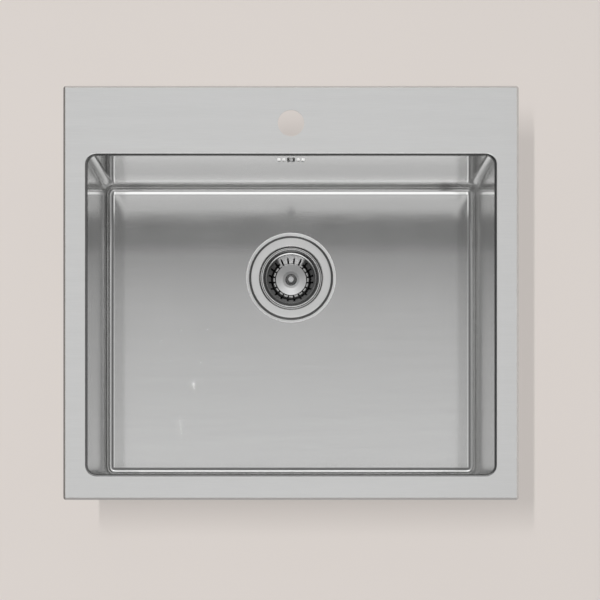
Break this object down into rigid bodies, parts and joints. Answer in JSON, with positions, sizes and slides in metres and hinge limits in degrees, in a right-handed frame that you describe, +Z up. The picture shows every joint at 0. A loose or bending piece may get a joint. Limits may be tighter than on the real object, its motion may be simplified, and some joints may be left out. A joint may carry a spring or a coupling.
{
  "type": "kitchen sink",
  "caption": "Inset stainless kitchen sink: square-edged deck with a tap ledge and tap hole, one deep rectangular bowl, slotted overflow, basket waste and clips.",
  "frame": {"origin": "middle of the worktop's cut-out, on the worktop's top face, where the rim sits", "axes": "+X to the right along the longer side, +Y towards the tap ledge, +Z up"},
  "size_m": [0.55, 0.5, 0.274],
  "materials": {
    "steel_sheet": "brushed",
    "zinc_steel": "zinc plated",
    "polished_steel": "polished",
    "chrome_knob": "polished",
    "seal_foam": "matte",
    "sound_pad": "matte",
    "black_rubber": "matte",
    "black_plastic": "satin",
    "white_plastic": "satin",
    "hose_plastic": "satin",
    "brass_insert": "turned"
  },
  "bodies": {
    "sink": {"deck": "steel_sheet", "bowl": "steel_sheet", "rim_seal": "seal_foam", "tap_ledge_stiffener": "zinc_steel", "clip_brackets": "zinc_steel", "waste_flange": "polished_steel", "flange_gasket": "black_rubber", "lower_gasket": "black_rubber", "waste_body": "white_plastic", "thread_insert": "brass_insert", "clamp_screw": "polished_steel", "overflow_gasket": "black_rubber", "overflow_housing": "white_plastic", "overflow_screw": "chrome_knob", "overflow_hose": "hose_plastic", "hose_seal": "black_rubber", "hose_nut": "white_plastic", "hose_band": "zinc_steel", "pad_right": "sound_pad", "pad_left": "sound_pad", "pad_front": "sound_pad", "pad_rear_right": "sound_pad", "pad_rear_left": "sound_pad", "pad_floor_front": "sound_pad", "pad_floor_right": "sound_pad", "pad_floor_left": "sound_pad"},
    "basket": {"basket": "polished_steel", "basket_knob": "chrome_knob", "basket_stem": "black_plastic", "basket_stopper": "black_rubber"},
    "washer_right": {"clip_washer_right": "zinc_steel"},
    "screw_right": {"clip_screw_right": "zinc_steel"},
    "claw_right": {"clip_claw_right": "zinc_steel"},
    "washer_left": {"clip_washer_left": "zinc_steel"},
    "screw_left": {"clip_screw_left": "zinc_steel"},
    "claw_left": {"clip_claw_left": "zinc_steel"},
    "washer_front_right": {"clip_washer_front_right": "zinc_steel"},
    "screw_front_right": {"clip_screw_front_right": "zinc_steel"},
    "claw_front_right": {"clip_claw_front_right": "zinc_steel"},
    "washer_front_left": {"clip_washer_front_left": "zinc_steel"},
    "screw_front_left": {"clip_screw_front_left": "zinc_steel"},
    "claw_front_left": {"clip_claw_front_left": "zinc_steel"},
    "washer_rear_right": {"clip_washer_rear_right": "zinc_steel"},
    "screw_rear_right": {"clip_screw_rear_right": "zinc_steel"},
    "claw_rear_right": {"clip_claw_rear_right": "zinc_steel"},
    "washer_rear_left": {"clip_washer_rear_left": "zinc_steel"},
    "screw_rear_left": {"clip_screw_rear_left": "zinc_steel"},
    "claw_rear_left": {"clip_claw_rear_left": "zinc_steel"}
  },
  "joints": [
    {"name": "basket_lift", "type": "slide", "parent": "sink", "child": "basket", "axis": [0, 0, 1], "range_m": [0, 0.25]},
    {"name": "clip_right_lift", "type": "slide", "parent": "sink", "child": "washer_right", "axis": [0, 0, 1], "range_m": [0, 0.022]},
    {"name": "clip_right_turn", "type": "hinge", "parent": "washer_right", "child": "screw_right", "pos_m": [0.256, -0.0265, -0.0515], "axis": [0, 0, 1], "range_deg": [0, 9900]},
    {"name": "clip_right_swing", "type": "hinge", "parent": "washer_right", "child": "claw_right", "pos_m": [0.256, -0.0265, -0.0495], "axis": [0, 0, 1], "range_deg": [-90, 0]},
    {"name": "clip_left_lift", "type": "slide", "parent": "sink", "child": "washer_left", "axis": [0, 0, 1], "range_m": [0, 0.022]},
    {"name": "clip_left_turn", "type": "hinge", "parent": "washer_left", "child": "screw_left", "pos_m": [-0.256, -0.0265, -0.0515], "axis": [0, 0, 1], "range_deg": [0, 9900]},
    {"name": "clip_left_swing", "type": "hinge", "parent": "washer_left", "child": "claw_left", "pos_m": [-0.256, -0.0265, -0.0495], "axis": [0, 0, 1], "range_deg": [-90, 0]},
    {"name": "clip_front_right_lift", "type": "slide", "parent": "sink", "child": "washer_front_right", "axis": [0, 0, 1], "range_m": [0, 0.022]},
    {"name": "clip_front_right_turn", "type": "hinge", "parent": "washer_front_right", "child": "screw_front_right", "pos_m": [0.17, -0.231, -0.0515], "axis": [0, 0, 1], "range_deg": [0, 9900]},
    {"name": "clip_front_right_swing", "type": "hinge", "parent": "washer_front_right", "child": "claw_front_right", "pos_m": [0.17, -0.231, -0.0495], "axis": [0, 0, 1], "range_deg": [-90, 0]},
    {"name": "clip_front_left_lift", "type": "slide", "parent": "sink", "child": "washer_front_left", "axis": [0, 0, 1], "range_m": [0, 0.022]},
    {"name": "clip_front_left_turn", "type": "hinge", "parent": "washer_front_left", "child": "screw_front_left", "pos_m": [-0.17, -0.231, -0.0515], "axis": [0, 0, 1], "range_deg": [0, 9900]},
    {"name": "clip_front_left_swing", "type": "hinge", "parent": "washer_front_left", "child": "claw_front_left", "pos_m": [-0.17, -0.231, -0.0495], "axis": [0, 0, 1], "range_deg": [-90, 0]},
    {"name": "clip_rear_right_lift", "type": "slide", "parent": "sink", "child": "washer_rear_right", "axis": [0, 0, 1], "range_m": [0, 0.022]},
    {"name": "clip_rear_right_turn", "type": "hinge", "parent": "washer_rear_right", "child": "screw_rear_right", "pos_m": [0.17, 0.231, -0.0515], "axis": [0, 0, 1], "range_deg": [0, 9900]},
    {"name": "clip_rear_right_swing", "type": "hinge", "parent": "washer_rear_right", "child": "claw_rear_right", "pos_m": [0.17, 0.231, -0.0495], "axis": [0, 0, 1], "range_deg": [-90, 0]},
    {"name": "clip_rear_left_lift", "type": "slide", "parent": "sink", "child": "washer_rear_left", "axis": [0, 0, 1], "range_m": [0, 0.022]},
    {"name": "clip_rear_left_turn", "type": "hinge", "parent": "washer_rear_left", "child": "screw_rear_left", "pos_m": [-0.17, 0.231, -0.0515], "axis": [0, 0, 1], "range_deg": [0, 9900]},
    {"name": "clip_rear_left_swing", "type": "hinge", "parent": "washer_rear_left", "child": "claw_rear_left", "pos_m": [-0.17, 0.231, -0.0495], "axis": [0, 0, 1], "range_deg": [-90, 0]}
  ],
  "couplings": [
    {"joint": "clip_right_turn", "follows": "clip_right_lift", "rad_per_m": 7854},
    {"joint": "clip_left_turn", "follows": "clip_left_lift", "rad_per_m": 7854},
    {"joint": "clip_front_right_turn", "follows": "clip_front_right_lift", "rad_per_m": 7854},
    {"joint": "clip_front_left_turn", "follows": "clip_front_left_lift", "rad_per_m": 7854},
    {"joint": "clip_rear_right_turn", "follows": "clip_rear_right_lift", "rad_per_m": 7854},
    {"joint": "clip_rear_left_turn", "follows": "clip_rear_left_lift", "rad_per_m": 7854}
  ]
}
